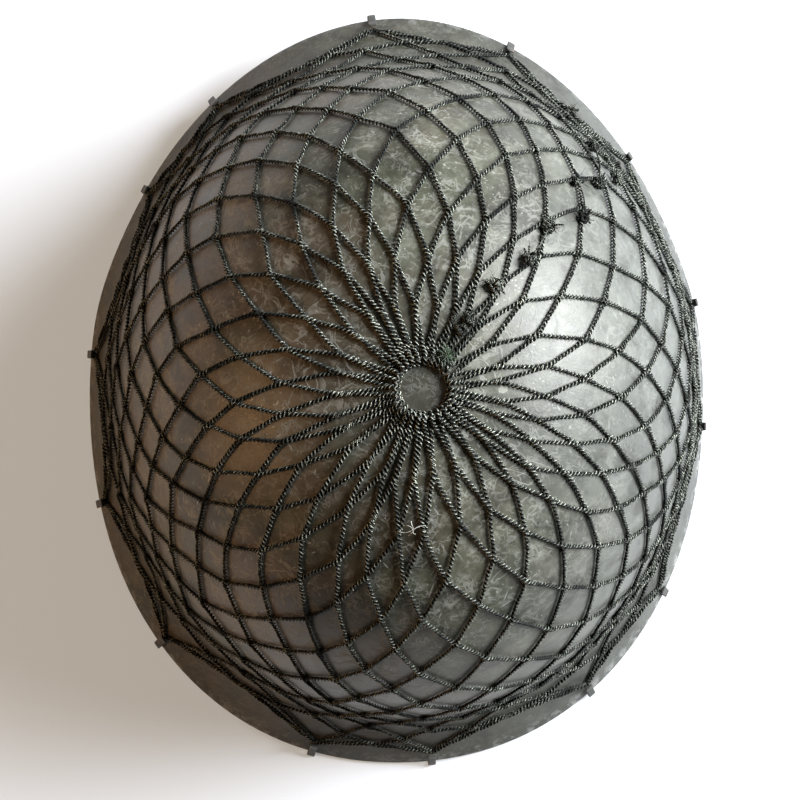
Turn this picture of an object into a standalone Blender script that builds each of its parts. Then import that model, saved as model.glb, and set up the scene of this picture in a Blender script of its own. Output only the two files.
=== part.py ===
"""Steel combat helmet with a knotted cord net drawn over it and hooked round its rim.

Metres, +Z up. The visor faces -Y and the helmet stands on its rim hooks, with the
origin on the surface under its middle. Angles run from the front, anticlockwise seen
from above.
"""

import bisect
import functools
import math

import bmesh
import bpy
from mathutils import Vector

# Rim outline, seen from above
RIM_LENGTH = 0.2862
RIM_WIDTH = 0.2390
FRONT_ROUNDNESS = 1.92
REAR_ROUNDNESS = 2.15
EAR_ANGLE = math.radians(73)
EAR_SPREAD = math.radians(9)
EAR_BULGE = 0.0011

# Rim line, seen from the side
VISOR_LIFT = 0.024
VISOR_END = math.radians(70)
WAIST_LIFT = 0.003
WAIST_START = math.radians(88)
WAIST_END = math.radians(170)

# Pressed steel shell
STEEL = 0.0011
CROWN_HEIGHT = 0.165
DOME_WIDTH = 0.2250
DOME_FRONT = 0.1290
DOME_REAR = 0.1270
DOME_BELOW = 0.040
DOME_SHOULDER = 2.55
FLARE_HEIGHT = 0.040
EDGE_ROLL = 0.0032
SHELL_COLUMNS = 48
DOME_RINGS = 11
FLARE_RINGS = 5
SECTION_STEPS = 90

# Rim hooks, bent from strip; each angle is where one grips the rim
HOOK_ANGLES = (4.6, 32.7, 51.2, 82.6, 110.0, 136.0, 166.3,
               185.2, 212.9, 233.5, 264.1, 287.3, 316.0, 342.5)
HOOK_WIDTH = 0.0030
HOOK_THICKNESS = 0.0008
HOOK_GAP = 0.0005
HOOK_LEAF = 0.0060
HOOK_TONGUE = 0.0036
HOOK_TAIL = 0.0045

# Draw cord round the edge of the net, and the ring that gathers it at the crown
SEAT_GAP = 0.0003
EDGE_CORD = 0.0018
EDGE_CORD_RISE = 0.0060
EDGE_CORD_STEPS = 4
RING_CORD = 0.0024
RING_RADIUS = 0.0088
RING_STEPS = 20

# Net, with every second strand of its diamond mesh
NET_STRAND_WIDTH = 0.0020
NET_STRAND_HEIGHT = 0.0014
NET_CLEARANCE = 0.0006
NET_BRIDGE = 0.0004
BRIDGE_START = 0.75
NET_BAR = 0.035
NET_BAND = 0.0026
NET_ROWS = 8
STRAND_STEPS = 3
LEAST_DROP = 0.2
FIRST_COLUMN = math.radians(6)

# Turns round the rolled edge, from its highest point outwards
ROLL_START = math.radians(45)
ROLL_TURNS = (math.radians(67), math.radians(90))
HOOK_TURNS = (math.radians(50), math.radians(75))

# A small step along the net, to take a direction from
NUDGE = 0.01

# Places that follow from the sizes above
RIM_BASE = HOOK_GAP + HOOK_THICKNESS
DOME_DEPTH = CROWN_HEIGHT + DOME_BELOW
COLUMN_COUNT = len(HOOK_ANGLES)
NET_START = RING_RADIUS + RING_CORD / 2 + SEAT_GAP + NET_BAND


def smooth(share):
    share = min(1.0, max(0.0, share))
    return share * share * (3 - 2 * share)


def from_front(angle):
    """The angle from the front on either side, 0 to half a turn."""
    return abs((angle + math.pi) % math.tau - math.pi)


def rim_radius(angle):
    """Radius of the rim's outline: a fuller oval behind, a slimmer one in front."""
    ahead = math.cos(angle) > 0
    power = FRONT_ROUNDNESS if ahead else REAR_ROUNDNESS
    across = abs(math.sin(angle)) / (RIM_WIDTH / 2)
    along = abs(math.cos(angle)) / (RIM_LENGTH / 2)
    oval = (across**power + along**power) ** (-1 / power)
    offset = (from_front(angle) - EAR_ANGLE) / EAR_SPREAD
    return oval + EAR_BULGE * math.exp(-offset * offset)


def rim_height(angle):
    """Height of the rim: up over the visor, down at the ears and low behind."""
    turned = from_front(angle)
    visor = VISOR_LIFT * smooth(1 - turned / VISOR_END)
    waist = (turned - WAIST_START) / (WAIST_END - WAIST_START)
    waist = WAIST_LIFT * math.sin(math.pi * min(1.0, max(0.0, waist))) ** 2
    return RIM_BASE + visor + waist


def dome_radius(angle):
    """Radius of the dome's widest plan, before the flare."""
    half_length = DOME_FRONT if math.cos(angle) > 0 else DOME_REAR
    across = math.sin(angle) / (DOME_WIDTH / 2)
    along = math.cos(angle) / half_length
    return (across * across + along * along) ** -0.5


@functools.lru_cache(maxsize=None)
def section(angle):
    """The shell's outer line in one direction, crown to rolled edge, as (radius, height) pairs."""
    low = rim_height(angle)
    foot_height = low + EDGE_ROLL * math.cos(ROLL_START)
    foot_radius = rim_radius(angle) - EDGE_ROLL * (1 - math.sin(ROLL_START))
    wide = dome_radius(angle)
    power = 2 / DOME_SHOULDER
    last = math.acos(((foot_height + DOME_BELOW) / DOME_DEPTH) ** (1 / power))
    flare = foot_radius - wide * math.sin(last) ** power
    line = []
    for step in range(SECTION_STEPS + 1):
        turn = last * step / SECTION_STEPS
        height = DOME_DEPTH * math.cos(turn) ** power - DOME_BELOW
        out = max(0.0, 1 - (height - foot_height) / FLARE_HEIGHT)
        line.append((wide * math.sin(turn) ** power + flare * out * out, height))
    return line


@functools.lru_cache(maxsize=None)
def run_lengths(angle):
    """The distance from the crown to each point of the section."""
    line = section(angle)
    lengths = [0.0]
    for (r0, z0), (r1, z1) in zip(line, line[1:]):
        lengths.append(lengths[-1] + math.hypot(r1 - r0, z1 - z0))
    return lengths


def section_length(angle):
    return run_lengths(angle)[-1]


def skin_point(angle, distance, offset):
    """A point at a distance from the crown along the shell, stood off from its outer face."""
    line = section(angle)
    lengths = run_lengths(angle)
    step = min(max(1, bisect.bisect_left(lengths, distance)), len(line) - 1)
    (r0, z0), (r1, z1) = line[step - 1], line[step]
    span = lengths[step] - lengths[step - 1]
    share = (distance - lengths[step - 1]) / span
    tangent = ((r1 - r0) / span, (z1 - z0) / span)
    radius = r0 + (r1 - r0) * share - tangent[1] * offset
    height = z0 + (z1 - z0) * share + tangent[0] * offset
    return Vector((radius * math.sin(angle), -radius * math.cos(angle), height))


def radial_point(angle, radius, height):
    return Vector((radius * math.sin(angle), -radius * math.cos(angle), height))


def make_material(name, colour, roughness, metallic):
    material = bpy.data.materials.new(name)
    material.use_nodes = True
    shader = material.node_tree.nodes["Principled BSDF"]
    shader.inputs["Base Color"].default_value = (*colour, 1)
    shader.inputs["Roughness"].default_value = roughness
    shader.inputs["Metallic"].default_value = metallic
    return material


def add_object(name, mesh, material):
    piece = bpy.data.objects.new(name, mesh)
    bpy.context.scene.collection.objects.link(piece)
    mesh.materials.append(material)
    return piece


def thicken(piece, wall, side):
    """Gives a sheet its thickness, outwards for side 1 and inwards for side -1."""
    solid = piece.modifiers.new("wall", "SOLIDIFY")
    solid.thickness = wall
    solid.offset = side
    solid.use_even_offset = True


def mesh_facing_out(name, form):
    """Turns an open sheet's faces away from the helmet's axis and makes it a mesh."""
    bmesh.ops.recalc_face_normals(form, faces=form.faces)
    facing = sum(face.normal.dot(face.calc_center_median()) for face in form.faces)
    if facing < 0:
        bmesh.ops.reverse_faces(form, faces=form.faces)
    mesh = bpy.data.meshes.new(name)
    form.to_mesh(mesh)
    form.free()
    return mesh


def build_shell(material):
    """One pressed sheet: crown pole, rings down the dome and flare, and the rolled edge."""
    form = bmesh.new()
    crown = form.verts.new((0, 0, CROWN_HEIGHT))
    columns = []
    for column in range(SHELL_COLUMNS):
        angle = math.tau * column / SHELL_COLUMNS
        length = section_length(angle)
        wall = length - FLARE_HEIGHT
        distances = [wall * ring / DOME_RINGS for ring in range(1, DOME_RINGS + 1)]
        distances += [wall + FLARE_HEIGHT * ring / FLARE_RINGS for ring in range(1, FLARE_RINGS + 1)]
        points = [skin_point(angle, distance, 0) for distance in distances]
        for turn in ROLL_TURNS:
            radius = rim_radius(angle) - EDGE_ROLL * (1 - math.sin(turn))
            points.append(radial_point(angle, radius, rim_height(angle) + EDGE_ROLL * math.cos(turn)))
        columns.append([form.verts.new(point) for point in points])
    for left, right in zip(columns, columns[1:] + columns[:1]):
        form.faces.new((crown, left[0], right[0]))
        for ring in range(len(left) - 1):
            form.faces.new((left[ring], left[ring + 1], right[ring + 1], right[ring]))
    mesh = mesh_facing_out("steel_shell", form)
    mesh.shade_smooth()
    thicken(add_object("steel_shell", mesh, material), STEEL, -1)


def hook_line(angle):
    """A hook's centre line: tongue over the draw cord, leaf down the brim, round the rim and up."""
    length = section_length(angle)
    edge = rim_radius(angle)
    low = rim_height(angle)
    near = HOOK_GAP + HOOK_THICKNESS / 2
    over = SEAT_GAP + EDGE_CORD + HOOK_GAP + HOOK_THICKNESS / 2
    roll = EDGE_ROLL + near
    roll_base = edge - EDGE_ROLL
    line = [
        skin_point(angle, length - HOOK_LEAF - HOOK_TONGUE, over),
        skin_point(angle, length - HOOK_LEAF - EDGE_CORD / 2, over),
        skin_point(angle, length - HOOK_LEAF + EDGE_CORD / 2, near),
        skin_point(angle, length - HOOK_LEAF / 2, near),
    ]
    for turn in HOOK_TURNS:
        line.append(radial_point(angle, roll_base + roll * math.sin(turn), low + roll * math.cos(turn)))
    facet = edge * (1 - math.cos(math.pi / SHELL_COLUMNS))
    inner = edge - STEEL - facet - near
    line.append(radial_point(angle, edge + near, low - near))
    line.append(radial_point(angle, inner, low - near))
    line.append(radial_point(angle, inner - EDGE_ROLL / 4, low + EDGE_ROLL / 2))
    line.append(skin_point(angle, length - HOOK_TAIL, -STEEL - facet - near))
    return line


def rim_point(angle):
    return radial_point(angle, rim_radius(angle), rim_height(angle))


def build_hook(number, degrees, material):
    """One hook, its width laid along the slope of the rim where it grips."""
    angle = math.radians(degrees)
    reach = HOOK_WIDTH / RIM_WIDTH
    across = (rim_point(angle + reach) - rim_point(angle - reach)).normalized() * HOOK_WIDTH / 2
    form = bmesh.new()
    line = hook_line(angle)
    first = [form.verts.new(point - across) for point in line]
    second = [form.verts.new(point + across) for point in line]
    for step in range(len(line) - 1):
        form.faces.new((first[step], first[step + 1], second[step + 1], second[step]))
    bmesh.ops.recalc_face_normals(form, faces=form.faces)
    name = f"hook_{number:02d}"
    mesh = bpy.data.meshes.new(name)
    form.to_mesh(mesh)
    form.free()
    thicken(add_object(name, mesh, material), HOOK_THICKNESS, 0)


def build_loop(name, points, diameter, sides, material):
    """A closed round cord through these points."""
    curve = bpy.data.curves.new(name, "CURVE")
    curve.dimensions = "3D"
    curve.bevel_depth = diameter / 2
    curve.bevel_resolution = sides // 2 - 2
    curve.twist_mode = "Z_UP"
    spline = curve.splines.new("POLY")
    spline.points.add(len(points) - 1)
    spline.use_cyclic_u = True
    for point, place in zip(spline.points, points):
        point.co = (*place, 1)
    add_object(name, curve, material)


def ring_point(angle):
    return skin_point(angle, RING_RADIUS, SEAT_GAP + RING_CORD / 2)


def edge_cord_points():
    """The draw cord: under each hook's tongue, and drawn up the wall between hooks."""
    points = []
    angles = [math.radians(degrees) for degrees in HOOK_ANGLES]
    for here, following in zip(angles, angles[1:] + [angles[0] + math.tau]):
        for step in range(EDGE_CORD_STEPS):
            share = step / EDGE_CORD_STEPS
            angle = here + (following - here) * share
            rise = EDGE_CORD_RISE * math.sin(math.pi * share)
            seat = HOOK_LEAF + HOOK_TONGUE / 2 + EDGE_CORD / 2 + rise
            point = skin_point(angle, section_length(angle) - seat, SEAT_GAP + EDGE_CORD / 2)
            points.append(point)
    return points


@functools.lru_cache(maxsize=None)
def row_shares():
    """How far down each row of knots lies: bars of one length, spread by the growing girth."""
    side = math.pi / 2
    lengths = [NET_START]
    for _ in range(NET_ROWS):
        there = skin_point(side, lengths[-1], 0)
        girth = math.pi * abs(there.x) * (1 + RIM_LENGTH / RIM_WIDTH)
        half_pitch = girth / COLUMN_COUNT / 2
        lengths.append(lengths[-1] + NET_BAR * math.sqrt(max(LEAST_DROP, 1 - (half_pitch / NET_BAR) ** 2)))
    return tuple((length - NET_START) / (lengths[-1] - NET_START) for length in lengths)


def net_angle(column, share):
    """Where a column of knots runs: evenly spaced at the crown, and over the hooks at the rim."""
    turns, whole = divmod(math.floor(column), COLUMN_COUNT)
    after = (whole + 1) % COLUMN_COUNT
    here = math.radians(HOOK_ANGLES[whole]) + math.tau * turns
    following = math.radians(HOOK_ANGLES[after]) + math.tau * (turns + (after == 0))
    hooked = here + (following - here) * (column - math.floor(column))
    even = FIRST_COLUMN + math.tau * column / COLUMN_COUNT
    return even + (hooked - even) * smooth(share)


def net_point(column, share):
    """A point on the net's inner face, where share runs from the gathered band to the edge."""
    angle = net_angle(column, share)
    end = section_length(angle) - HOOK_LEAF - HOOK_TONGUE - EDGE_CORD / 2 - SEAT_GAP
    bridging = NET_BRIDGE * smooth((share - BRIDGE_START) / (1 - BRIDGE_START))
    return skin_point(angle, NET_START + (end - NET_START) * share, NET_CLEARANCE + bridging)


def knot_column(row, column):
    return column + (row % 2) / 2


def knot_point(row, column):
    return net_point(knot_column(row, column), row_shares()[row])


def strand_point(row, column, slant, step):
    """A point on the strand that leaves this knot towards the next row, to one side."""
    share = step / STRAND_STEPS
    shares = row_shares()
    down = shares[row] + (shares[row + 1] - shares[row]) * share
    return net_point(knot_column(row, column) + slant * share / 2, down)


def strand_side(row, column, slant, step):
    """The direction across a strand, lying in the shell's surface."""
    before = strand_point(row, column, slant, step - 0.5)
    after = strand_point(row, column, slant, step + 0.5)
    here = strand_point(row, column, slant, step)
    down = net_point(knot_column(row, column), row_shares()[row] + NUDGE) - knot_point(row, column)
    along = (after - before).normalized()
    outward = here - Vector((0, 0, CROWN_HEIGHT - DOME_WIDTH / 2))
    across = along.cross(outward).normalized()
    return across if across.dot(down) > 0 else -across


def corner_point(row, column, first, second):
    """The corner of the gap between two strands that meet at a knot."""
    place = knot_point(row, column)
    one = (first - place).normalized()
    two = (second - place).normalized()
    return place + (one + two) * (NET_STRAND_WIDTH / 2 / one.cross(two).length)


def column_beside(row, column, slant):
    """The column of the nearest knot on this side, in the row above or below."""
    shift = (slant - 1) // 2 if row % 2 == 0 else (slant + 1) // 2
    return (column + shift) % COLUMN_COUNT


def strand_ends(row, column):
    """The first points along the strands at a knot: up left, up right, down right and down left."""
    ends = []
    for slant in (-1, 1):
        if row > 0:
            beside = column_beside(row, column, slant)
            ends.append(strand_point(row - 1, beside, -slant, STRAND_STEPS - 1))
        else:
            ends.append(None)
    for slant in (1, -1):
        ends.append(strand_point(row, column, slant, 1) if row < NET_ROWS else None)
    return ends


def knot_corners(form, row, column):
    """The four gap corners round a knot; the crown and edge knots have plain sides."""
    up_left, up_right, down_right, down_left = strand_ends(row, column)
    place = knot_point(row, column)
    beside = net_point(knot_column(row, column) + NUDGE, row_shares()[row]) - place
    beside = beside.normalized() * NET_STRAND_WIDTH / 2
    corners = {}
    if row > 0:
        corners["top"] = form.verts.new(corner_point(row, column, up_left, up_right))
    if row < NET_ROWS:
        corners["bottom"] = form.verts.new(corner_point(row, column, down_left, down_right))
    if 0 < row < NET_ROWS:
        corners["right"] = form.verts.new(corner_point(row, column, up_right, down_right))
        corners["left"] = form.verts.new(corner_point(row, column, up_left, down_left))
    else:
        corners["right"] = form.verts.new(place + beside)
        corners["left"] = form.verts.new(place - beside)
    return corners


def fill_strand(form, knots, row, column, slant):
    """The strand's faces between the corners of its two knots."""
    start = knots[row, column]
    end = knots[row + 1, column_beside(row, column, slant)]
    near, far = ("right", "left") if slant > 0 else ("left", "right")
    upper = [start[near]]
    lower = [start["bottom"]]
    for step in range(1, STRAND_STEPS):
        place = strand_point(row, column, slant, step)
        across = strand_side(row, column, slant, step) * NET_STRAND_WIDTH / 2
        upper.append(form.verts.new(place - across))
        lower.append(form.verts.new(place + across))
    upper.append(end["top"])
    lower.append(end[far])
    for step in range(STRAND_STEPS):
        form.faces.new((upper[step], upper[step + 1], lower[step + 1], lower[step]))


def fill_crown_band(form, knots):
    """The bunched meshes round the crown ring, where the strands are gathered into one band."""
    inner = []
    for column in range(COLUMN_COUNT):
        knot = knots[0, column]
        pair = []
        for corner in (knot["left"], knot["right"]):
            place = corner.co
            inward = Vector((-place.x, -place.y, 0)).normalized() * NET_BAND
            pair.append(form.verts.new(place + inward))
        form.faces.new((pair[0], pair[1], knot["right"], knot["left"]))
        form.faces.new((knot["left"], knot["right"], knot["bottom"]))
        inner.append(pair)
    for column in range(COLUMN_COUNT):
        after = (column + 1) % COLUMN_COUNT
        outer_left, outer_right = knots[0, column]["right"], knots[0, after]["left"]
        form.faces.new((inner[column][1], inner[after][0], outer_right, outer_left))


def build_net(material):
    """The diamond net: strands cut clear between knots, one body from crown band to edge."""
    form = bmesh.new()
    knots = {}
    for row in range(NET_ROWS + 1):
        for column in range(COLUMN_COUNT):
            knots[row, column] = knot_corners(form, row, column)
    fill_crown_band(form, knots)
    for (row, column), corner in knots.items():
        if 0 < row < NET_ROWS:
            form.faces.new((corner["top"], corner["right"], corner["bottom"], corner["left"]))
        if row == NET_ROWS:
            form.faces.new((corner["top"], corner["right"], corner["left"]))
            continue
        for slant in (-1, 1):
            fill_strand(form, knots, row, column, slant)
    mesh = mesh_facing_out("camouflage_net", form)
    thicken(add_object("camouflage_net", mesh, material), NET_STRAND_HEIGHT, 1)


def clear_scene():
    for item in list(bpy.data.objects):
        bpy.data.objects.remove(item, do_unlink=True)


def build_helmet():
    paint = make_material("olive_paint", (0.105, 0.100, 0.085), 0.45, 0.1)
    hook_paint = make_material("hook_paint", (0.115, 0.105, 0.090), 0.5, 0.2)
    net_cord = make_material("net_cord", (0.030, 0.034, 0.022), 0.9, 0.0)
    ring_cord = make_material("ring_cord", (0.150, 0.150, 0.110), 0.9, 0.0)
    build_shell(paint)
    build_net(net_cord)
    ring = [ring_point(math.tau * step / RING_STEPS) for step in range(RING_STEPS)]
    build_loop("crown_ring", ring, RING_CORD, 8, ring_cord)
    build_loop("edge_cord", edge_cord_points(), EDGE_CORD, 6, net_cord)
    for number, degrees in enumerate(HOOK_ANGLES, start=1):
        build_hook(number, degrees, hook_paint)


clear_scene()
build_helmet()
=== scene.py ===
import math

import bpy
import numpy as np
from mathutils import Matrix, Vector, noise
from mathutils.bvhtree import BVHTree


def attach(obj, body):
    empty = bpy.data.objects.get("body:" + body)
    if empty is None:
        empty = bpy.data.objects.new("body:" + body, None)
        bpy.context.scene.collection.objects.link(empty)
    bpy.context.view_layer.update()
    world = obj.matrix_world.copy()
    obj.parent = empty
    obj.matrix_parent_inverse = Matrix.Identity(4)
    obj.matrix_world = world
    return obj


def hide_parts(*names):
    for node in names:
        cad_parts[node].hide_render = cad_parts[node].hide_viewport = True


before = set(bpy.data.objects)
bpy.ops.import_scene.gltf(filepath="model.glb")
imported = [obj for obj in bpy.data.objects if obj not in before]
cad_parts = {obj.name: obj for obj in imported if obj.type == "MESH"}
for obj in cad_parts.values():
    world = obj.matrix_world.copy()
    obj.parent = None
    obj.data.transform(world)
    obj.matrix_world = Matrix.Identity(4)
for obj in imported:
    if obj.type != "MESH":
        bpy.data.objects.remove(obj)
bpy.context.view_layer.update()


# Helmet shell
# One sheet of 1.1 mm steel, pressed into a deep dome with a flared brim whose edge is
# rolled down. Years of stacking have left shallow dents and a dense web of scuffs in its
# sprayed olive-grey paint.

# the point inside the dome from which tilts are measured
SHELL_HEART = Vector((0, 0, 0.050))
SHELL_SMOOTH_ANGLE = math.radians(40)
RIPPLE_DEPTH = 0.00022
RIPPLE_SIZES = (
    # scale of the noise, and its share of the depth
    (2.6, 1.0),
    (6.5, 0.45),
    (14.0, 0.16),
)
STIFF_RIM = 0.012
DENTS = (
    # azimuth from the visor, tilt from the crown (degrees), radius and depth (m)
    (128, 34, 0.016, 0.0006),
    (205, 47, 0.022, 0.0007),
    (262, 26, 0.013, 0.0004),
    (24, 62, 0.020, 0.0007),
    (318, 78, 0.018, 0.0005),
    (84, 70, 0.026, 0.0006),
    (176, 84, 0.024, 0.0006),
)


def select_only(piece):
    bpy.ops.object.select_all(action="DESELECT")
    piece.select_set(True)
    bpy.context.view_layer.objects.active = piece


def merged_copy(node, name):
    """A copy of a node's mesh, with its loose triangles joined."""
    piece = bpy.data.objects.new(name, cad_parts[node].data.copy())
    bpy.context.scene.collection.objects.link(piece)
    piece.data.name = name
    piece.data.materials.clear()
    select_only(piece)
    bpy.ops.mesh.customdata_custom_splitnormals_clear()
    bpy.ops.object.mode_set(mode="EDIT")
    bpy.ops.mesh.select_all(action="SELECT")
    bpy.ops.mesh.remove_doubles(threshold=1e-6)
    bpy.ops.mesh.tris_convert_to_quads(face_threshold=math.radians(4), shape_threshold=math.radians(70))
    bpy.ops.object.mode_set(mode="OBJECT")
    return piece


def apply_modifier(piece, kind, **settings):
    modifier = piece.modifiers.new(kind.lower(), kind)
    for name, value in settings.items():
        setattr(modifier, name, value)
    select_only(piece)
    bpy.ops.object.modifier_apply(modifier=modifier.name)


def aim(azimuth, tilt):
    """The direction at an azimuth from the visor and a tilt from the crown."""
    wide = math.sin(tilt)
    return Vector((wide * math.sin(azimuth), -wide * math.cos(azimuth), math.cos(tilt)))


def vertex_places(mesh):
    places = np.empty(len(mesh.vertices) * 3, np.float32)
    mesh.vertices.foreach_get("co", places)
    return places.reshape(-1, 3).astype(float)


shell = merged_copy("steel_shell", "helmet_shell")
apply_modifier(shell, "SUBSURF", levels=2, render_levels=2)

places = vertex_places(shell.data)
arms = places - np.array(SHELL_HEART)
spans = np.linalg.norm(arms, axis=1)
aims = arms / spans[:, None]
push = np.zeros(len(places))
for size, share in RIPPLE_SIZES:
    push += share * np.array([noise.noise(Vector(a) * size) for a in aims])
push = RIPPLE_DEPTH * (push - push.max())
for azimuth, tilt, radius, depth in DENTS:
    centre = np.array(aim(math.radians(azimuth), math.radians(tilt)))
    reach = np.linalg.norm(aims - centre, axis=1) * spans / radius
    push -= depth * np.exp(-reach * reach)
tilts = np.arccos(aims[:, 2])
azimuths = np.arctan2(aims[:, 0], -aims[:, 1])
turns = np.linspace(-math.pi, math.pi, 73)
rim_slice = 0.09
near_rim = [tilts[np.abs(azimuths - turn) < rim_slice].max() for turn in turns]
from_rim = (np.interp(azimuths, turns, near_rim) - tilts) * spans
push *= np.clip(from_rim / STIFF_RIM, 0, 1)
shell.data.vertices.foreach_set("co", (places + aims * push[:, None]).astype(np.float32).ravel())
rim_distance = shell.data.attributes.new("rim_distance", "FLOAT", "POINT")
rim_distance.data.foreach_set("value", from_rim.astype(np.float32))
select_only(shell)
bpy.ops.object.shade_smooth_by_angle(angle=SHELL_SMOOTH_ANGLE)


class Shade:
    """A value in a material: sums and products of it add Math nodes there."""

    def __init__(self, tree, socket=None):
        self.tree = tree
        self.socket = socket

    def node(self, kind, settings, inputs, output=0):
        """Adds any node: its settings come first, then the values or links of its sockets."""
        made = self.tree.nodes.new("ShaderNode" + kind)
        for name, value in settings.items():
            setattr(made, name, value)
        for name, value in inputs.items():
            socket = made.inputs[name]
            if isinstance(value, Shade):
                self.tree.links.new(value.socket, socket)
            else:
                socket.default_value = value
        return Shade(self.tree, made.outputs[output])

    def maths(self, operation, *others):
        return self.node("Math", {"operation": operation}, dict(enumerate((self, *others))))

    def __add__(self, other):
        return self.maths("ADD", other)

    def __sub__(self, other):
        return self.maths("SUBTRACT", other)

    def __rsub__(self, other):
        return self.node("Math", {"operation": "SUBTRACT"}, {0: other, 1: self})

    def __mul__(self, other):
        return self.maths("MULTIPLY", other)

    __radd__ = __add__
    __rmul__ = __mul__

    def above(self, low, high):
        """Rises from 0 to 1 as this value goes from low to high."""
        settings = {"interpolation_type": "SMOOTHSTEP"}
        return self.node("MapRange", settings, {"Value": self, "From Min": low, "From Max": high})

    def colours(self, first, second):
        """Blends from the first colour to the second by this value."""
        inputs = {0: self, 6: first, 7: second}
        return self.node("Mix", {"data_type": "RGBA"}, inputs, output=2)

    def noise(self, where, scale, detail=4, roughness=0.55):
        inputs = {"Vector": where, "Scale": scale, "Detail": detail, "Roughness": roughness}
        return self.node("TexNoise", {}, inputs)


def new_material(name):
    """A new material, a Shade to start its nodes from, and its shader."""
    material = bpy.data.materials.new(name)
    material.use_nodes = True
    tree = material.node_tree
    return material, Shade(tree), tree.nodes["Principled BSDF"]


def rgb(red, green, blue):
    return (red, green, blue, 1.0)


def plug(shader, **values):
    """Sets or links the shader's own sockets, named with underscores."""
    for name, value in values.items():
        socket = shader.inputs[name.replace("_", " ")]
        if isinstance(value, Shade):
            value.tree.links.new(value.socket, socket)
        else:
            socket.default_value = value


def strokes(make, where, turn, length, width, thinning, seed):
    """Fine scratches in one direction: long thin cells that the surface cuts through."""
    settings = {"vector_type": "TEXTURE"}
    laid = make.node("Mapping", settings, {
        "Vector": where,
        "Location": (seed * 0.37, seed * 0.11, seed * 0.23),
        "Rotation": turn,
        "Scale": (length, width, width),
    })
    cells = make.node("TexVoronoi", {}, {"Vector": laid, "Scale": 1.0, "Randomness": 1.0})
    return 1 - cells.above(thinning * 0.5, thinning)


def crooked_lines(make, where, scale, width, seed):
    """Thin curling lines, where a field of noise passes through its middle value."""
    moved = make.node("VectorMath", {"operation": "ADD"}, {0: where, 1: (seed, seed * 0.7, seed * 0.3)})
    field = make.node("TexNoise", {}, {"Vector": moved, "Scale": scale, "Detail": 3.0, "Distortion": 0.9})
    return 1 - (field - 0.5).maths("ABSOLUTE").above(width * 0.4, width)


def spot(make, where, fray, centre, turn, length, width):
    """An oval mark near the crown, seen from above, with a frayed edge."""
    laid = make.node("Mapping", {"vector_type": "TEXTURE"}, {
        "Vector": where,
        "Location": centre,
        "Rotation": (0, 0, math.radians(turn)),
        "Scale": (length / 2, width / 2, 0.05),
    })
    away = make.node("VectorMath", {"operation": "LENGTH"}, {0: laid}, output=1)
    return 1 - (away + fray * 0.5).above(1.0, 1.2)


PAINT_DARK = rgb(0.029, 0.028, 0.016)
PAINT_LIGHT = rgb(0.080, 0.080, 0.051)
BROWN_AND_WARM_SHADE = rgb(0.092, 0.063, 0.038)
PAINT_WINDOW_TINT = rgb(0.076, 0.078, 0.070)
SCUFF_GREY = rgb(0.23, 0.225, 0.18)
SCRATCH_GREY = rgb(0.42, 0.41, 0.34)
# dark grime, also used for the painted shade on the walls and beside the crown
GRIME_AND_SHADE = rgb(0.011, 0.0095, 0.0055)
CHIP_GREY = rgb(0.19, 0.185, 0.145)
BARE_STEEL = rgb(0.40, 0.39, 0.35)
SCRATCH_SETS = (
    # rotation (radians), length and width of a cell (m), how much of it shows, strength
    ((0.3, 0.2, 0.5), 0.050, 0.0024, 0.15, 0.55),
    ((0.1, 0.5, 1.3), 0.036, 0.0020, 0.16, 0.50),
    ((0.6, 0.1, 2.2), 0.060, 0.0028, 0.13, 0.60),
    ((0.2, 0.7, 2.9), 0.030, 0.0017, 0.17, 0.45),
)
CURL_SETS = (
    # scale of the noise (per m), width of a line in it, strength
    (60, 0.017, 0.31),
    (120, 0.027, 0.29),
    (230, 0.044, 0.23),
)
DARK_CROWN_DISC = ((0, 0, 0.165), 0, 0.0180, 0.0180)
PALE_CHIPS = (
    # place (m), turn (degrees), length and width (m)
    ((-0.0257, 0.0002, 0.163), 10, 0.0038, 0.0030),
    ((-0.0136, 0.0141, 0.164), 35, 0.0040, 0.0030),
    ((-0.0222, 0.0141, 0.163), 60, 0.0038, 0.0030),
    ((-0.0330, 0.0270, 0.160), 20, 0.0075, 0.0006),
    ((-0.0345, 0.0255, 0.160), 24, 0.0052, 0.0005),
)

paint, make, shader = new_material("worn olive paint")
where = make.node("TexCoord", {}, {}, output=3)
rim = make.node("Attribute", {"attribute_name": "rim_distance"}, {}, output=2)
across = make.node("SeparateXYZ", {}, {0: where})
lengthways = make.node("SeparateXYZ", {}, {0: where}, output=1)
worn_side = 0.3 + across.above(-0.075, 0.015) * 0.7
clouds = make.noise(where, 24, 4, 0.6)
mottle = make.noise(where, 130, 4, 0.65)
grit = make.noise(where, 1500, 2, 0.6)
speckle = make.noise(where, 620, 3, 0.7)
# Brown patches, gathered towards the side away from the window: partly a real brown patina, partly the
# warm tint of the dim light on that side, painted in.
brown_and_warm_shade = (make.noise(where, 34, 3, 0.6) + across * 1.1).above(0.44, 0.60)
scuffs = make.noise(where, 210, 4, 0.75).above(0.50, 0.66) * clouds.above(0.38, 0.62)
colour = (clouds * 0.5 + mottle * 0.5).above(0.37, 0.63).colours(PAINT_DARK, PAINT_LIGHT)
colour = (brown_and_warm_shade * (0.18 + across.above(-0.02, 0.05) * 0.52)).colours(colour, BROWN_AND_WARM_SHADE)
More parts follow.
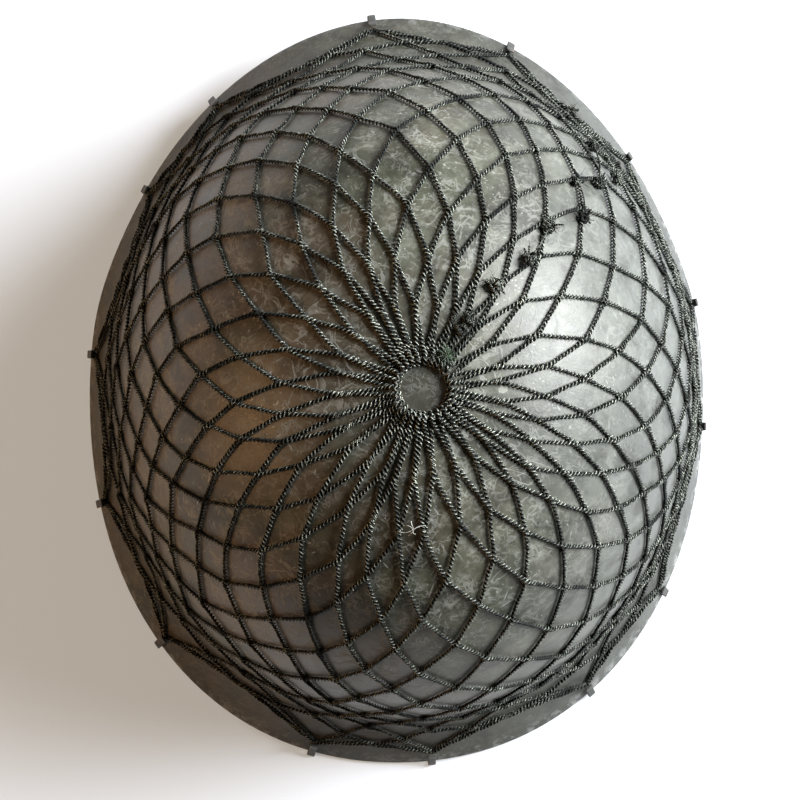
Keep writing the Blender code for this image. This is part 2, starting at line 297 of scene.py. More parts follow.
# Painted light: the window side takes a greyer, cooler tone, the tint of the window's light.
window_side_tint = 1 - across.above(-0.085, -0.005)
colour = (window_side_tint * 0.65).colours(colour, PAINT_WINDOW_TINT)
blotches = 1 - make.noise(where, 75, 4, 0.68).above(0.34, 0.52)
colour = (blotches * 0.6).colours(colour, GRIME_AND_SHADE)
colour = (scuffs * worn_side * 0.45).colours(colour, SCUFF_GREY)
colour = (speckle.above(0.60, 0.74) * 0.25).colours(colour, SCUFF_GREY)
colour = ((1 - speckle.above(0.26, 0.42)) * 0.5).colours(colour, GRIME_AND_SHADE)
curled = None
for number, (scale, width, strength) in enumerate(CURL_SETS):
    lines = crooked_lines(make, where, scale, width, number + 1.7) * strength
    lines = lines * make.noise(where, scale * 0.6, 3).above(0.43, 0.62)
    curled = lines if curled is None else curled.maths("MAXIMUM", lines)
curled = curled * worn_side
colour = curled.colours(colour, SCRATCH_GREY)
scratched = None
for number, (turn, length, width, thinning, strength) in enumerate(SCRATCH_SETS):
    lines = strokes(make, where, turn, length, width, thinning, number + 1) * strength
    scratched = lines if scratched is None else scratched.maths("MAXIMUM", lines)
scratched = scratched * make.noise(where, 60, 3, 0.6).above(0.42, 0.60) * worn_side
colour = scratched.colours(colour, SCRATCH_GREY)
chips = make.node("TexVoronoi", {}, {"Vector": where, "Scale": 95.0, "Randomness": 1.0})
chips = (1 - (chips + speckle * 0.10).above(0.09, 0.12)) * make.noise(where, 40, 2).above(0.60, 0.64)
for chip in PALE_CHIPS:
    chips = chips.maths("MAXIMUM", spot(make, where, speckle, *chip))
colour = (chips * (0.4 + worn_side * 0.6)).colours(colour, CHIP_GREY)
# A darker disc inside the crown ring.
dark_crown_disc = spot(make, where, speckle, *DARK_CROWN_DISC)
colour = (dark_crown_disc * (0.35 + mottle * 0.5)).colours(colour, GRIME_AND_SHADE)
edge_wear = (1 - rim.above(0.0012, 0.0065)) * make.noise(where, 260, 4, 0.7).above(0.48, 0.61)
colour = (edge_wear * 0.7).colours(colour, BARE_STEEL)
# The walls darken towards the rim: partly grime, partly painted shade, as where the net lies thick; the
# brim is darkened less, least on the window side.
wall_grime_and_shade = (1 - rim.above(0.0, 0.080)) * (0.50 + make.noise(where, 70, 4) * 0.6)
lighter_brim = (1 - rim.above(0.008, 0.024)) * (1 - across.above(-0.095, -0.045) * 0.6)
wall_grime_and_shade = wall_grime_and_shade * (1 - lighter_brim * 0.75)
colour = (wall_grime_and_shade * 0.85).colours(colour, GRIME_AND_SHADE)
# Painted shade: a darker band just past the crown on the side away from the window, stronger towards the
# rear, where the window light falls off.
painted_shade_band = across.above(-0.015, 0.025) * (1 - across.above(0.022, 0.058))
painted_shade_band = painted_shade_band * (0.05 + lengthways.above(-0.09, 0.03) * 0.45)
colour = painted_shade_band.colours(colour, GRIME_AND_SHADE)
relief = mottle * 0.45 + grit * 0.18 + speckle * 0.3 + curled * 0.9
bump = make.node("Bump", {}, {"Strength": 0.7, "Distance": 0.00028, "Height": relief})
plug(
    shader,
    Base_Color=colour,
    Roughness=0.38 + mottle * 0.16 + scuffs * 0.14 + curled * 0.9 + wall_grime_and_shade * 0.26,
    Metallic=chips.maths("MAXIMUM", edge_wear * 0.6) * 0.3,
    Normal=bump,
    Specular_IOR_Level=0.5,
    Specular_Tint=rgb(1.0, 0.95, 0.85),
)
shell.data.materials.append(paint)
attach(shell, "root")
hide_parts("steel_shell")


# Camouflage net
# Dark olive two-ply cord, machine made into a diamond mesh of 29 meshes round. Each mesh of
# the first row loops over the crown ring and each of the last over the draw cord. The
# cords pass through one another where they cross, alternately above and below.

NET_COLUMNS = 29
NET_ROWS = 14
NET_FIRST = math.radians(10.0)
NET_BAR = 0.0172
NET_LAST_DROP = 0.62
# half a mesh's width against its bar at most, and the dome's girth against a circle's
WIDEST_MESH = 0.85
GIRTH_SHARE = 1.1
RING_RADIUS = 0.0093
RING_LOOP = (
    # distance from the crown and height over the shell (m), where a strand turns over the ring
    (0.0078, 0.0007), (0.0078, 0.0018), (0.0085, 0.0030),
    (0.0096, 0.0034), (0.0107, 0.0027), (0.0118, 0.0016),
)
HOOK_AZIMUTHS = (
    4.6, 32.7, 51.2, 82.6, 110.0, 136.0, 166.3,
    185.2, 212.9, 233.5, 264.1, 287.3, 316.0, 342.5,
)
# the mesh of the last row that each hook holds down
HOOKED_TIPS = (0, 2, 4, 6, 8, 10, 12, 14, 16, 18, 20, 22, 25, 27)
TIED_FROM_ROW = 6.8
GATHERS = (
    # azimuth, and how far the meshes there are pulled round (degrees)
    (10, 1.8), (45, -2.0), (72, 0.8), (95, 3.7), (125, 1.1), (150, 1.5), (183, -2.8),
    (215, 1.8), (235, 1.3), (262, -3.2), (290, -1.4), (313, 4.2), (335, 0.0), (350, -0.5),
)
PULLS = (
    # the rows' pull down the dome as a share of the whole: even, to the visor, to the left
    # ear, and twice round both ways; on the upper dome, on the wall and on the flare
    (0.000, -0.009, 0.035, 0.003, -0.013),
    (-0.023, 0.031, -0.030, 0.002, 0.020),
    (0.009, -0.006, 0.000, 0.009, 0.000),
)
# how far the draw cord lies from the rim at a hook, and how far it bows up between hooks
# 26 degrees apart: with all rows of the net, and further with the last rows alone (m)
DRAW_CORD_SEAT = 0.0093
DRAW_CORD_RISE = 0.0080
LAST_ROWS_RISE = 0.0045
HOOK_GAP = 26
DRAW_CORD_SLACK = (
    # azimuth (degrees), and how many times as far the draw cord bows up there
    (20, 1.0), (270, 1.0), (300, 1.5), (330, 1.3), (350, 1.0),
)
CORD_PLY = 0.00041
CORD_PITCH = 0.0030
CORD_STEPS_PER_TURN = 8
CORD_LIFT = 0.00095
SOUGHT_FROM = 0.0006
POINTS_PER_BAR = 12
BENDS_EVERY = 5
EASED_AT_RING = 24
CROSSING_LIFT = 0.00055
CROSSING_SWELL = 0.32
CROSSING_SHARPNESS = 7
KNOT_DRIFT = 0.0006
CORD_WANDER = 0.00016
CORD_ROUGHNESS = 0.07
# the chart of the shell's surface that the net is laid out on
CHART_TURNS = 360
CHART_STEPS = 120
CHART_TILTS = np.radians(np.arange(0, 118, 0.6))
WELL_OUTSIDE = 0.3

# one stream of random numbers for all cords, so that each run gives the same ones
rng = np.random.default_rng(7)
surface = BVHTree.FromPolygons(
    [vertex.co for vertex in shell.data.vertices],
    [tuple(polygon.vertices) for polygon in shell.data.polygons],
)


def unit(vectors):
    return vectors / np.linalg.norm(vectors, axis=-1, keepdims=True)


def run_along(path):
    """How far along a path each of its points lies."""
    return np.concatenate([[0], np.cumsum(np.linalg.norm(np.diff(path, axis=0), axis=1))])


def read_at(steps, run, table):
    """The rows of a table of vectors, read at steps along its run."""
    return np.stack([np.interp(steps, run, table[:, axis]) for axis in range(3)], axis=1)


def chart_line(azimuth):
    """The shell's outer line in one direction: evenly spaced points from crown to rim."""
    line = []
    for tilt in CHART_TILTS:
        ray = aim(azimuth, tilt)
        place = surface.ray_cast(SHELL_HEART + ray * WELL_OUTSIDE, -ray)[0]
        if place is None or (place - SHELL_HEART).dot(ray) < 0:
            break
        line.append(place)
    line = np.array(line)
    run = run_along(line)
    return read_at(np.linspace(0, run[-1], CHART_STEPS + 1), run, line), run[-1]


lines = [chart_line(math.tau * turn / CHART_TURNS) for turn in range(CHART_TURNS)]
chart = np.array([line for line, length in lines])
chart_lengths = np.array([length for line, length in lines])
around = np.roll(chart, -1, axis=0) - np.roll(chart, 1, axis=0)
around[:, 0] = around[:, 1]
chart_normals = unit(np.cross(np.gradient(chart, axis=1), around))
chart_normals[:, 0] = (0, 0, 1)


def shell_length(azimuth):
    """The distance over the shell from crown to rim."""
    at = np.mod(azimuth, math.tau) * CHART_TURNS / math.tau
    return np.interp(at, np.arange(CHART_TURNS + 1), np.append(chart_lengths, chart_lengths[0]))


def on_shell(azimuth, distance):
    """The point on the shell, and its normal, that far from the crown."""
    azimuth = np.mod(np.asarray(azimuth, float), math.tau)
    down = np.clip(distance / shell_length(azimuth), 0, 1) * CHART_STEPS
    at = azimuth * CHART_TURNS / math.tau
    column = np.floor(at).astype(int)
    row = np.minimum(np.floor(down).astype(int), CHART_STEPS - 1)
    u, v = (at - column)[..., None], (down - row)[..., None]
    column = column % CHART_TURNS
    beside = (column + 1) % CHART_TURNS
    found = []
    for table in (chart, chart_normals):
        upper = table[column, row] * (1 - u) + table[beside, row] * u
        lower = table[column, row + 1] * (1 - u) + table[beside, row + 1] * u
        found.append(upper * (1 - v) + lower * v)
    return found[0], unit(found[1])


def smooth(share):
    """A share that starts and ends gently."""
    share = np.clip(share, 0, 1)
    return share * share * (3 - 2 * share)


def wrap_interp(azimuth, table):
    """Reads a table of (degrees, value) round the full circle."""
    places, values = np.array(table, float).T
    places = np.concatenate([places - 360, places, places + 360])
    return np.interp(np.degrees(azimuth), places, np.tile(values, 3))


def cord_bow(azimuth):
    """How far up the draw cord bows between two hooks, as a share: wide gaps bow more."""
    turn = np.mod(np.degrees(azimuth), 360)
    hooks = np.array(HOOK_AZIMUTHS)
    hooks = np.concatenate([[hooks[-1] - 360], hooks, [hooks[0] + 360]])
    span = np.clip(np.searchsorted(hooks, turn, side="right") - 1, 0, len(hooks) - 2)
    share = (turn - hooks[span]) / (hooks[span + 1] - hooks[span])
    gap = hooks[span + 1] - hooks[span]
    bow = (gap / HOOK_GAP) ** 2 * np.sin(np.pi * share)
    return bow * wrap_interp(np.mod(azimuth, math.tau), DRAW_CORD_SLACK)


def draw_cord_distance(azimuth):
    """How far from the crown the draw cord lies: down at the hooks and up between them."""
    rise = (DRAW_CORD_RISE + LAST_ROWS_RISE) * cord_bow(azimuth)
    return shell_length(azimuth) - DRAW_CORD_SEAT - rise


def row_shares():
    """Rows of knots: bars of one length, spread sideways by the growing girth."""
    side = math.pi / 2
    reach = [RING_RADIUS]
    for row in range(NET_ROWS):
        place = on_shell(side, reach[-1])[0]
        girth = math.tau * abs(place[0]) * GIRTH_SHARE
        half_pitch = min(girth / NET_COLUMNS / 2, NET_BAR * WIDEST_MESH)
        drop = math.sqrt(NET_BAR**2 - half_pitch**2)
        reach.append(reach[-1] + drop * (NET_LAST_DROP if row == NET_ROWS - 1 else 1))
    reach = np.array(reach)
    return (reach - reach[0]) / (reach[-1] - reach[0])


ROW_SHARES = row_shares()
tip_table = []
for azimuth, tip in zip(HOOK_AZIMUTHS, HOOKED_TIPS):
    tip_table.append((tip, azimuth - math.degrees(NET_FIRST) - tip * 360 / NET_COLUMNS))


def net_azimuth(row, column):
    """Where a column runs: gathered unevenly over the dome, and tied to the hooks at the rim."""
    even = NET_FIRST + math.tau * np.asarray(column, float) / NET_COLUMNS
    gathered = np.radians(wrap_interp(np.mod(even, math.tau), GATHERS))
    tips, shifts = np.array(tip_table, float).T
    tips = np.concatenate([tips - NET_COLUMNS, tips, tips + NET_COLUMNS])
    hooked = np.radians(np.interp(np.mod(column, NET_COLUMNS), tips, np.tile(shifts, 3)))
    tied = smooth((np.asarray(row, float) - TIED_FROM_ROW) / (NET_ROWS - TIED_FROM_ROW))
    return even + gathered * (1 - tied) + hooked * tied


def net_place(row, column):
    """Azimuth and distance of any point of the net; whole rows are rows of knots."""
    azimuth = net_azimuth(row, column)
    share = np.interp(row, np.arange(NET_ROWS + 1), ROW_SHARES)
    waves = (1, np.cos(azimuth), np.sin(azimuth), np.cos(2 * azimuth), np.sin(2 * azimuth))
    upper, wall, flare = [sum(pull * wave for pull, wave in zip(pulls, waves)) for pulls in PULLS]
    # each factor brings the peak of its own curve to 1
    pulled = 4 * upper + 6.75 * share * wall + 23 * share**7 * flare
    share = share + share * (1 - share) * pulled
    rise = LAST_ROWS_RISE * cord_bow(azimuth)
    span = draw_cord_distance(azimuth) + rise - RING_RADIUS
    return azimuth, RING_RADIUS + span * share - rise * share**6


def even_steps(path, normals, swell, step):
    """The path again at even steps, with its normals and its swelling."""
    run = run_along(path)
    even = np.linspace(0, run[-1], max(2, int(round(run[-1] / step)) + 1))
    return read_at(even, run, path), unit(read_at(even, run, normals)), np.interp(even, run, swell)


PLY_OUTLINE = np.array([
    # two touching plies, as shares of a ply's radius from the middle of the cord
    (2.0, 0.0), (1.35, 0.90), (0.0, 0.42), (-1.35, 0.90),
    (-2.0, 0.0), (-1.35, -0.90), (0.0, -0.42), (1.35, -0.90),
])
PLY_RIDGES = np.array([1.0, 0.75, 0.0, 0.75, 1.0, 0.75, 0.0, 0.75])


class CordMesh:
    """Gathers twisted cords into one mesh."""

    def __init__(self):
        self.places = []
        self.faces = []
        self.ridges = []
        self.count = 0

    def add(self, path, normals, ply, pitch, closed=False, phase=0.0, swell=None):
        """Sweeps the two plies along a path, turning once in each pitch."""
        swell = np.ones(len(path)) if swell is None else swell
        path, normals, swell = even_steps(path, normals, swell, pitch / CORD_STEPS_PER_TURN)
        swell = swell * rng.normal(1, CORD_ROUGHNESS, len(path))
        if closed:
            path, normals, swell = path[:-1], normals[:-1], swell[:-1]
            along = np.roll(path, -1, axis=0) - np.roll(path, 1, axis=0)
        else:
            along = np.gradient(path, axis=0)
        along = unit(along)
        across = unit(np.cross(along, normals))
        normals = np.cross(across, along)
        steps = len(path)
        if closed:
            turns = phase + math.tau * np.arange(steps) * round(steps / CORD_STEPS_PER_TURN) / steps
        else:
            turns = phase + math.tau * np.arange(steps) / CORD_STEPS_PER_TURN
        cos, sin = np.cos(turns)[:, None], np.sin(turns)[:, None]
        x, y = PLY_OUTLINE.T * ply
        right = (x * cos - y * sin) * swell[:, None]
        up = (x * sin + y * cos) * swell[:, None]
        rings = path[:, None] + right[:, :, None] * across[:, None] + up[:, :, None] * normals[:, None]
        sides = len(PLY_OUTLINE)
        index = self.count + np.arange(steps * sides).reshape(steps, sides)
        first = index if closed else index[:-1]
        second = np.roll(index, -1, axis=0) if closed else index[1:]
        quads = np.stack([
            first, np.roll(first, -1, axis=1), np.roll(second, -1, axis=1), second,
        ], axis=2).reshape(-1, 4)
        self.faces.extend(quads.tolist())
        if not closed:
            self.faces.append(index[0][::-1].tolist())
            self.faces.append(index[-1].tolist())
        self.places.append(rings.reshape(-1, 3))
        self.ridges.append(np.tile(PLY_RIDGES, steps))
        self.count += steps * sides

    def finish(self, name, material, slot, node):
        """Makes the piece that takes the place of a solid."""
        mesh = bpy.data.meshes.new(name)
        mesh.from_pydata(np.concatenate(self.places).tolist(), [], self.faces)
        ridge = mesh.attributes.new("ridge", "FLOAT", "POINT")
        ridge.data.foreach_set("value", np.concatenate(self.ridges).astype(np.float32))
        piece = bpy.data.objects.new(name, mesh)
        bpy.context.scene.collection.objects.link(piece)
        select_only(piece)
        bpy.ops.object.mode_set(mode="EDIT")
        bpy.ops.mesh.select_all(action="SELECT")
        bpy.ops.mesh.normals_make_consistent(inside=False)
        bpy.ops.object.mode_set(mode="OBJECT")
        bpy.ops.object.shade_smooth()
        mesh.materials.append(material)
        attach(piece, "root")
        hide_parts(node)


# the place round which the cords' pale flecks, partly dust and partly painted glints, are thickest
FLECK_CENTRE = (-0.012, 0, 0.166)


def cord_material(name, deep, ridge_colour, fleck_colour, flecks):
    """Twisted cord: dark between the plies, partly painted shade, and paler on their ridges, with pale
    flecks that are partly dust and partly painted glints.
    """
    material, make, shader = new_material(name)
    where = make.node("TexCoord", {}, {}, output=3)
    ridge = make.node("Attribute", {"attribute_name": "ridge"}, {}, output=2)
    fibres = make.noise(where, 2600, 3, 0.7)
    fleck_noise = make.noise(where, 900, 3, 0.75)
    fade = make.noise(where, 75, 3)
    ends = {0: where, 1: FLECK_CENTRE}
    from_crown = make.node("VectorMath", {"operation": "DISTANCE"}, ends, output=1)
    near_fleck_centre = 1 - from_crown.above(0.010, 0.090)
    # Darker in the grooves between the plies, partly painted shade, and paler on the ridges.
    colour = (ridge.above(0.5, 1.0) * (fibres * 0.7 + fade * 0.6)).colours(deep, ridge_colour)
    # Pale flecks on the ply ridges: partly dust, partly painted glints of light, thickest near the crown.
    dust_and_glints = fibres.above(0.42, 0.54) * ridge.above(0.76, 0.98) * fleck_noise.above(0.40, 0.58)
    dust_and_glints = dust_and_glints * (fade.above(0.30, 0.55) * 0.65 + near_fleck_centre * 0.35)
    colour = (dust_and_glints * flecks).colours(colour, fleck_colour)
    bump = make.node("Bump", {}, {"Strength": 0.5, "Distance": 0.0001, "Height": fibres})
    plug(shader, Base_Color=colour, Roughness=0.58 + fibres * 0.25, Normal=bump, Specular_IOR_Level=0.16)
    return material


net_cord = cord_material(
    "dark olive cord", rgb(0.0010, 0.0011, 0.0007), rgb(0.014, 0.015, 0.009), rgb(0.64, 0.65, 0.49), 1.0
)

drift = rng.normal(0, KNOT_DRIFT, (NET_ROWS + 1, NET_COLUMNS * 2, 2))
drift[0] = 0
drift[-1] = 0


def knot_place(row, column):
    """A knot's place on the shell, a little off the even mesh."""
    azimuth, distance = net_place(row, column)
    aside, down = drift[row, int(round(column * 2)) % (NET_COLUMNS * 2)]
    place = on_shell(azimuth, distance)[0]
    radius = max(math.hypot(place[0], place[1]), 0.004)
    return on_shell(azimuth + aside / radius, distance + down)


def settle(points, normals, lifts):
    """Lays points on the shell, that far off it."""
    laid = []
    for point, normal, lift in zip(points, normals, lifts):
        near = surface.find_nearest(Vector(point + normal * SOUGHT_FROM))[0]
        laid.append(np.array(near) + normal * lift)
    return np.array(laid)


def ease(values, rounds):
    """Rounds off a path's corners, its ends kept."""
    for _ in range(rounds):
        inner = (values[:-2] + values[1:-1] * 2 + values[2:]) / 4
        values = np.concatenate([values[:1], inner, values[-1:]])
    return values


def strand_path(column, slant):
    """One strand from the crown ring to the draw cord, stepping half a mesh each row."""
    points = []
    upright = []
    for row in range(NET_ROWS):
        start, start_normal = knot_place(row, column + slant * row / 2)
        end, end_normal = knot_place(row + 1, column + slant * (row + 1) / 2)
        for share in np.arange(POINTS_PER_BAR) / POINTS_PER_BAR:
            points.append(start * (1 - share) + end * share)
            upright.append(start_normal * (1 - share) + end_normal * share)
    points.append(end)
    upright.append(end_normal)
    points, upright = np.array(points), unit(np.array(upright))
    rows = np.arange(len(points)) / POINTS_PER_BAR
    knot = np.round(rows).astype(int)
    near_knot = np.exp(-(((rows - knot) * CROSSING_SHARPNESS) ** 2)) * (knot > 0) * (knot < NET_ROWS)
    over = (knot + (slant > 0)) % 2
    lifts = CORD_LIFT + CROSSING_LIFT * over * near_knot
    bends = np.arange(0, len(points) + BENDS_EVERY, BENDS_EVERY)
    wander = np.interp(np.arange(len(points)), bends, rng.normal(0, CORD_WANDER, len(bends)))
    points = settle(points, upright, lifts)
    across = np.cross(unit(np.gradient(points, axis=0)), upright)
    points = points + across * wander[:, None]
    swell = 1 + CROSSING_SWELL * near_knot
    points, normals = ease(points, 2), unit(ease(upright, 6))
    azimuth = net_azimuth(0, column)
    if slant > 0:
        loop = []
        loop_normals = []
        for distance, lift in RING_LOOP:
            place, normal = on_shell(azimuth, distance)
            loop.append(place + normal * lift)
            loop_normals.append(normal)
        beyond = 3
        points = np.concatenate([loop, points[beyond:]])
        normals = np.concatenate([loop_normals, normals[beyond:]])
        swell = np.concatenate([np.ones(len(loop)), swell[beyond:]])
        points[:EASED_AT_RING] = ease(points[:EASED_AT_RING], 1)
    return points, normals, swell


for quarter in range(4):
    cords = CordMesh()
    for column in range(quarter, NET_COLUMNS, 4):
        for slant in (-1, 1):
            path, normals, swell = strand_path(column, slant)
            cords.add(path, normals, CORD_PLY, CORD_PITCH, phase=rng.uniform(0, math.pi), swell=swell)
    cords.finish(f"net_cords_{quarter + 1}", net_cord, "net_cord", "camouflage_net")


# Crown ring
# A ring of thicker, paler cord that gathers the first row of meshes, leaving a round
# opening over the crown.

RING_LIFT = 0.0019
RING_PLY = 0.0006
RING_PITCH = 0.0046
ring_cord = cord_material(
    "pale olive cord", rgb(0.012, 0.012, 0.008), rgb(0.110, 0.108, 0.078), rgb(0.48, 0.46, 0.37), 0.8
)
turn = np.linspace(0, math.tau, 241)
place, normal = on_shell(turn, np.full(len(turn), RING_RADIUS))
ring = CordMesh()
ring.add(place + normal * RING_LIFT, normal, RING_PLY, RING_PITCH, closed=True)
ring.finish("crown_ring_cord", ring_cord, "ring_cord", "crown_ring")


# Draw cord
# Two lengths of the same dark cord, wound about each other, run through the last row of
# meshes. The hooks' leaves hold them down by the rim, and they bow up between the hooks.

DRAW_CORD_LIFT = 0.0011
DRAW_CORD_PLY = 0.00036
DRAW_CORD_TWIST = 0.022
APART_FLAT = 0.00055
APART_UPRIGHT = 0.00040
draw_cord = CordMesh()
turn = np.linspace(0, math.tau, 1441)
place, normal = on_shell(turn, draw_cord_distance(turn))
across = np.cross(unit(np.gradient(place, axis=0)), normal)
winds = turn * round(run_along(place)[-1] / DRAW_CORD_TWIST)
for side in (-1, 1):
    beside = across * (side * APART_FLAT * np.cos(winds))[:, None]
    above = normal * (DRAW_CORD_LIFT + side * APART_UPRIGHT * np.sin(winds))[:, None]
    draw_cord.add(place + beside + above, normal, DRAW_CORD_PLY, CORD_PITCH, closed=True)
draw_cord.finish("draw_cord", net_cord, "net_cord", "edge_cord")


# Seam knots
# The net was closed along a seam with short lengths of the same cord. Each tie is a fuzzy
# knot with a few loops and cut, frayed ends, and thin thread runs straight between some.

SEAM_TIES = (
    # azimuth (degrees) and radius (m) on the dome, and how large the knot is
    (327.1, 0.0221, 0.9), (326.7, 0.0262, 1.0), (325.0, 0.0402, 0.9), (320.3, 0.0540, 1.15),
    (321.8, 0.0671, 1.1), (316.0, 0.0782, 0.8), (322.8, 0.0875, 0.85), (318.5, 0.0937, 1.0),
    (316.1, 0.1025, 1.1), (323.4, 0.1072, 1.0), (329.6, 0.1208, 0.8),
)
SEAM_THREADS = ((3, 4), (5, 6), (7, 9))
TIE_SIZE = 0.0021
TIE_HEIGHT = 0.0019
TIE_CLEAR = 0.0005
FIBRE_CLEAR = 0.0003
# how many, and then the radius of a ply and the pitch of the twist (m)
TIE_LOOPS, LOOP_PLY, LOOP_PITCH = 7, 0.00026, 0.0018
TIE_ENDS, END_PLY, END_PITCH = 4, 0.00022, 0.0016
TIE_FIBRES, FIBRE_PLY, FIBRE_PITCH = 26, 0.000035, 0.008
THREAD_PLY, THREAD_PITCH = 0.00020, 0.0020
THREAD_LIFT = 0.0022
THREAD_ARCH = 0.0012


def on_dome(degrees, radius):
    """The point on the shell, and its normal, at an azimuth and a radius seen from above."""
    azimuth = math.radians(degrees)
    line = chart[int(round(azimuth * CHART_TURNS / math.tau)) % CHART_TURNS]
    widths = np.maximum.accumulate(np.hypot(line[:, 0], line[:, 1]))
    run = np.linspace(0, shell_length(azimuth), CHART_STEPS + 1)
    return on_shell(azimuth, np.interp(radius, widths, run))


def in_frame(normal):
    """Axes at a point of the shell: round it, down it and off it."""
    round_it = unit(np.cross(normal, (0, 0, 1.0)) + 1e-9)
    return np.array([round_it, np.cross(normal, round_it), normal])


def lay_end(cords, path, side, place, axes, clear, ply, pitch):
    """Adds a short loose piece to a mesh, at a place and in its axes, clear of the shell."""
    path[:, 2] = np.maximum(path[:, 2], clear)
    cords.add(path @ axes + place, np.tile(side, (len(path), 1)), ply, pitch)


ties = CordMesh()
for degrees, radius, size in SEAM_TIES:
    place, normal = on_dome(degrees, radius)
    axes = in_frame(normal)
    heart = np.array([0, 0, TIE_HEIGHT])
    reach = TIE_SIZE * size
    for _ in range(TIE_LOOPS):
        turn = np.linspace(0, math.tau * rng.uniform(0.8, 1.2), 22)
        spin = np.linalg.qr(rng.normal(size=(3, 3)))[0]
        squash = rng.uniform(0.6, 1.15, 3) * (1, 1, 0.75)
        flat = np.stack([np.cos(turn), np.sin(turn), 0.35 * np.sin(2 * turn + rng.uniform(0, 6))], axis=1)
        loop = (flat @ spin) * squash * reach + heart
        side = unit(rng.normal(size=3))
        lay_end(ties, loop, side, place, axes, TIE_CLEAR, LOOP_PLY, LOOP_PITCH)
    for _ in range(TIE_ENDS):
        way = unit(rng.normal(size=3) * (1, 1, 0.45) + (0, 0, 0.25))
        bend = unit(rng.normal(size=3))
        share = np.linspace(0, 1, 9)[:, None]
        straight = way * share * rng.uniform(1.3, 2.0)
        end = heart + reach * (straight + bend * share**2 * rng.uniform(0.3, 1.1))
        side = unit(np.cross(way, bend))
        lay_end(ties, end, side, place, axes, TIE_CLEAR, END_PLY, END_PITCH)
    for _ in range(TIE_FIBRES):
        way = unit(rng.normal(size=3) + (0, 0, 0.3))
        bend = rng.normal(size=3) * 0.5
        share = np.linspace(0.5, 1, 4)[:, None]
        end = heart + reach * rng.uniform(1.0, 1.7) * (way * share + bend * share**2)
        side = unit(np.cross(way, bend))
        lay_end(ties, end, side, place, axes, FIBRE_CLEAR, FIBRE_PLY, FIBRE_PITCH)
for first, second in SEAM_THREADS:
    start, start_normal = on_dome(*SEAM_TIES[first][:2])
    end, end_normal = on_dome(*SEAM_TIES[second][:2])
    share = np.linspace(0, 1, 12)[:, None]
    normals = unit(start_normal * (1 - share) + end_normal * share)
    thread = (start + start_normal * THREAD_LIFT) * (1 - share) + (end + end_normal * THREAD_LIFT) * share
    arch = normals * (THREAD_ARCH * np.sin(np.pi * share))
    ties.add(thread + arch, normals, THREAD_PLY, THREAD_PITCH)
ties.finish("seam_knots", net_cord, "net_cord", "camouflage_net")


# Caught fibres
# A tuft of green fibre has stuck to the crown ring beside the seam, and a short pale thread
# hangs in the net towards the rear.

TUFT_PLACE = (325.1, 0.0127)
TUFT_FIBRES = 70
TUFT_HEIGHT = 0.0036
TUFT_REACH = (0.0014, 0.0028)
TUFT_CLEAR = 0.0004
CAUGHT_PITCH = 0.006
PALE_THREAD_PLACE = (175.6, 0.0444)
PALE_THREAD_RUNS = (
    # turn (radians) and half length (m) of each run of the thread
    (0.3, 0.0046),
    (1.5, 0.0026),
    (2.5, 0.0022),
)
green_fibre = cord_material(
    "green fibre", rgb(0.045, 0.065, 0.036), rgb(0.140, 0.190, 0.110), rgb(0.38, 0.44, 0.30), 0.6
)
pale_thread = cord_material(
    "pale thread", rgb(0.30, 0.29, 0.24), rgb(0.55, 0.53, 0.45), rgb(0.70, 0.68, 0.60), 0.6
)
tuft = CordMesh()
place, normal = on_shell(math.radians(TUFT_PLACE[0]), TUFT_PLACE[1])
axes = in_frame(normal)
for _ in range(TUFT_FIBRES):
    way = unit(rng.normal(size=3) * (1, 1, 0.5))
    bend = rng.normal(size=3) * 0.6
    share = np.linspace(0, 1, 6)[:, None]
    fibre = np.array([0, 0, TUFT_HEIGHT]) + rng.uniform(*TUFT_REACH) * (way * share + bend * share**2)
    side = unit(np.cross(way, bend))
    lay_end(tuft, fibre, side, place, axes, TUFT_CLEAR, FIBRE_PLY, CAUGHT_PITCH)
tuft.finish("green_tuft", green_fibre, "ring_cord", "crown_ring")
thread = CordMesh()
place, normal = on_dome(*PALE_THREAD_PLACE)
axes = in_frame(normal)
share = np.linspace(-1, 1, 24)
for turn, length in PALE_THREAD_RUNS:
    run = length * share
    bow = 0.0006 * np.sin(3 * share + turn)
    line = np.stack([
        run * math.cos(turn) - bow * math.sin(turn),
        run * math.sin(turn) + bow * math.cos(turn),
        0.0026 - 0.0010 * share * share,
    ], axis=1)
    thread.add(line @ axes + place, np.tile(normal, (24, 1)), FIBRE_PLY * 2, CAUGHT_PITCH)
thread.finish("pale_thread", pale_thread, "net_cord", "camouflage_net")


# Rim hooks
# Fourteen strips of thin steel, bent over the rim by hand: a foot under it, a tongue
# inside, and a leaf outside that clamps the draw cord. They were painted with the shell
# and have rubbed through to reddish primer.

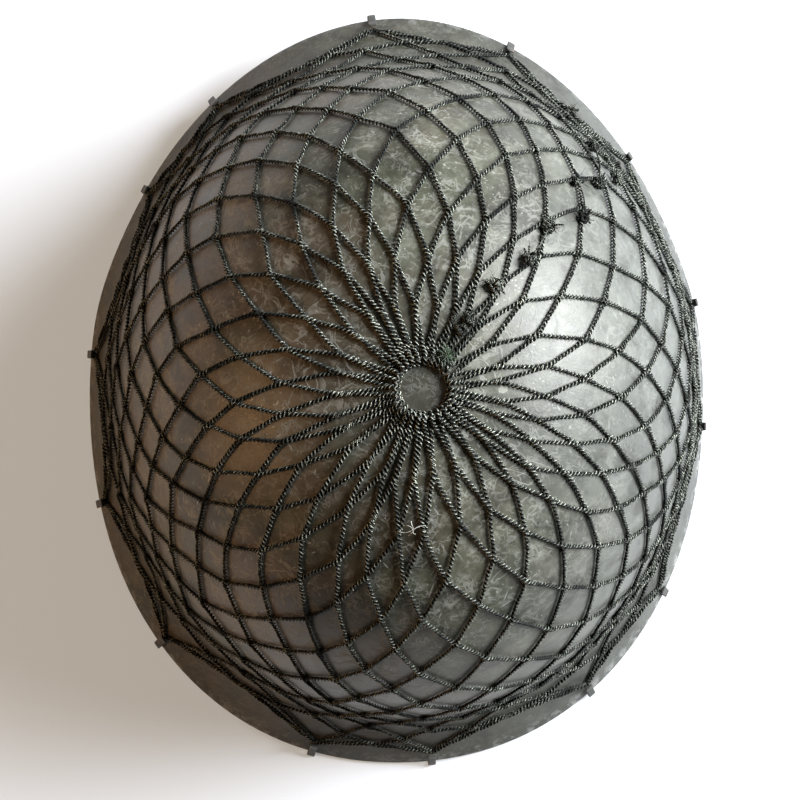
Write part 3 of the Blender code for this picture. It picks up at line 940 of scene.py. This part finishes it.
PRIMER = rgb(0.095, 0.058, 0.046)
HOOK_OLIVE = rgb(0.040, 0.040, 0.030)
hook_paint, make, shader = new_material("worn hook paint")
where = make.node("TexCoord", {}, {}, output=3)
rubbed = make.noise(where, 420, 4, 0.7)
tone = make.noise(where, 45, 2)
colour = rubbed.above(0.50, 0.66).colours(HOOK_OLIVE, PRIMER)
colour = (rubbed.above(0.64, 0.74) * 0.6).colours(colour, BARE_STEEL)
colour = ((1 - tone.above(0.3, 0.6)) * 0.5).colours(colour, GRIME_AND_SHADE)
bump = make.node("Bump", {}, {"Strength": 0.5, "Distance": 0.0002, "Height": rubbed})
plug(
    shader,
    Base_Color=colour,
    Roughness=0.42 + tone * 0.25,
    Metallic=rubbed.above(0.62, 0.74) * 0.8,
    Normal=bump,
)
for number in range(1, len(HOOK_AZIMUTHS) + 1):
    hook = merged_copy(f"hook_{number:02d}", f"rim_hook_{number:02d}")
    apply_modifier(
        hook, "BEVEL", width=0.00014, segments=1, limit_method="ANGLE", angle_limit=math.radians(60)
    )
    apply_modifier(hook, "SUBSURF", levels=2, render_levels=2)
    hook.data.materials.append(hook_paint)
    select_only(hook)
    bpy.ops.object.shade_smooth()
    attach(hook, "root")
    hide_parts(f"hook_{number:02d}")


# Studio
# A pale floor, one broad soft light on the side of the wearer's right ear, a warm weak one
# opposite and a faint one overhead. The camera looks down on the crown from just off its
# middle.

CAMERA_PLACE = Vector((0.0435, 0.0109, 0.900))
CAMERA_TARGET = Vector((-0.0007, 0.0020, 0.0))
CAMERA_LENS = 104.25
FLOOR_PALE = rgb(0.46, 0.46, 0.455)
FLOOR_GLOW = rgb(1.0, 0.97, 0.89)
ROOM_GLOW = rgb(0.9, 0.92, 0.9)

bpy.ops.object.select_all(action="DESELECT")
bpy.ops.mesh.primitive_plane_add(size=6.0, location=(0, 0, 0))
floor = bpy.context.object
floor.name = "studio_floor"
floor_paint, make, shader = new_material("pale floor")
plug(shader, Base_Color=FLOOR_PALE, Roughness=0.9, Emission_Color=FLOOR_GLOW, Emission_Strength=0.31)
floor.data.materials.append(floor_paint)


def facing(place, target, up):
    """The matrix of something at a place that looks at a target."""
    ahead = (target - place).normalized()
    right = ahead.cross(up).normalized()
    top = right.cross(ahead)
    turned = Matrix((right, top, -ahead)).transposed().to_4x4()
    return Matrix.Translation(place) @ turned


def soft_light(name, place, size, power, colour):
    lamp = bpy.data.lights.new(name, "AREA")
    lamp.shape = "RECTANGLE"
    lamp.size, lamp.size_y = size
    lamp.energy = power
    lamp.color = colour
    light = bpy.data.objects.new(name, lamp)
    bpy.context.scene.collection.objects.link(light)
    light.matrix_world = facing(Vector(place), Vector((0, 0, 0.08)), Vector((0, 0, 1)))


# place, size (m), power (W) and colour of each light
soft_light("window", (-0.97, -0.38, 0.77), (0.78, 0.75), 79, (0.91, 0.98, 1.11))
soft_light("warm_side", (1.20, 0.20, 0.66), (0.5, 0.5), 8.0, (1.0, 0.60, 0.32))
soft_light("overhead", (-0.20, -0.60, 1.60), (1.0, 1.0), 1.0, (0.95, 1.0, 0.92))

world = bpy.data.worlds.new("studio")
bpy.context.scene.world = world
world.use_nodes = True
backdrop = world.node_tree.nodes["Background"]
backdrop.inputs["Color"].default_value = ROOM_GLOW
backdrop.inputs["Strength"].default_value = 0.012
bpy.context.scene.view_settings.view_transform = "Standard"

camera = bpy.data.objects.new("camera", bpy.data.cameras.new("camera"))
bpy.context.scene.collection.objects.link(camera)
camera.data.lens = CAMERA_LENS
camera.data.clip_start = 0.01
camera.matrix_world = facing(CAMERA_PLACE, CAMERA_TARGET, Vector((0, -1, 0)))
bpy.context.scene.camera = camera
